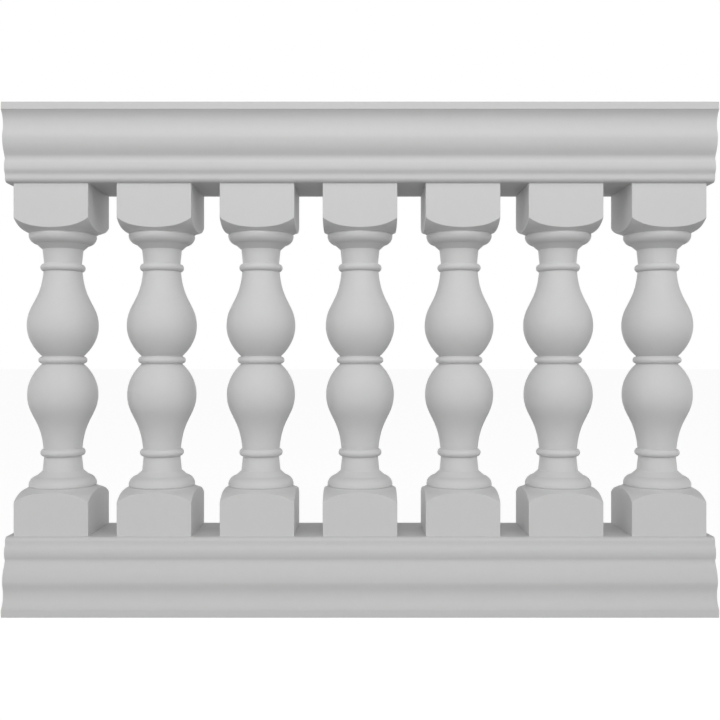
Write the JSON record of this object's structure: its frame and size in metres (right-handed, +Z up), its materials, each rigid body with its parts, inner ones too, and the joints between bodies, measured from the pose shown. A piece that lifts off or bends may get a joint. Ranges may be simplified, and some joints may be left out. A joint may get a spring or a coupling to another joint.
{
  "type": "fiberglass balustrade section",
  "caption": "Straight balustrade section: double-bellied turned balusters with square blocks between moulded hollow rails, clamped by tie rods.",
  "frame": {"origin": "middle of the underside of the bottom rail, where the section stands", "axes": "+Z up, X along the rails, Y across them; the section is the same seen from the front or the back"},
  "size_m": [1.2192, 0.1778, 0.8763],
  "materials": {
    "gelcoat": "smooth light grey gelcoat over glass-fibre laminate, matt",
    "zinc_steel": "zinc-plated steel"
  },
  "bodies": {
    "root": {"bottom_rail": "gelcoat", "top_rail": "gelcoat", "baluster_1": "gelcoat", "baluster_2": "gelcoat", "baluster_3": "gelcoat", "baluster_4": "gelcoat", "baluster_5": "gelcoat", "baluster_6": "gelcoat", "baluster_7": "gelcoat", "tie_rod_1": "zinc_steel", "tie_rod_2": "zinc_steel", "tie_rod_3": "zinc_steel", "tie_rod_4": "zinc_steel", "tie_rod_5": "zinc_steel", "tie_rod_6": "zinc_steel", "tie_rod_7": "zinc_steel", "lower_washers": "zinc_steel", "lower_nuts": "zinc_steel", "upper_washers": "zinc_steel", "upper_nuts": "zinc_steel"}
  },
  "joints": []
}
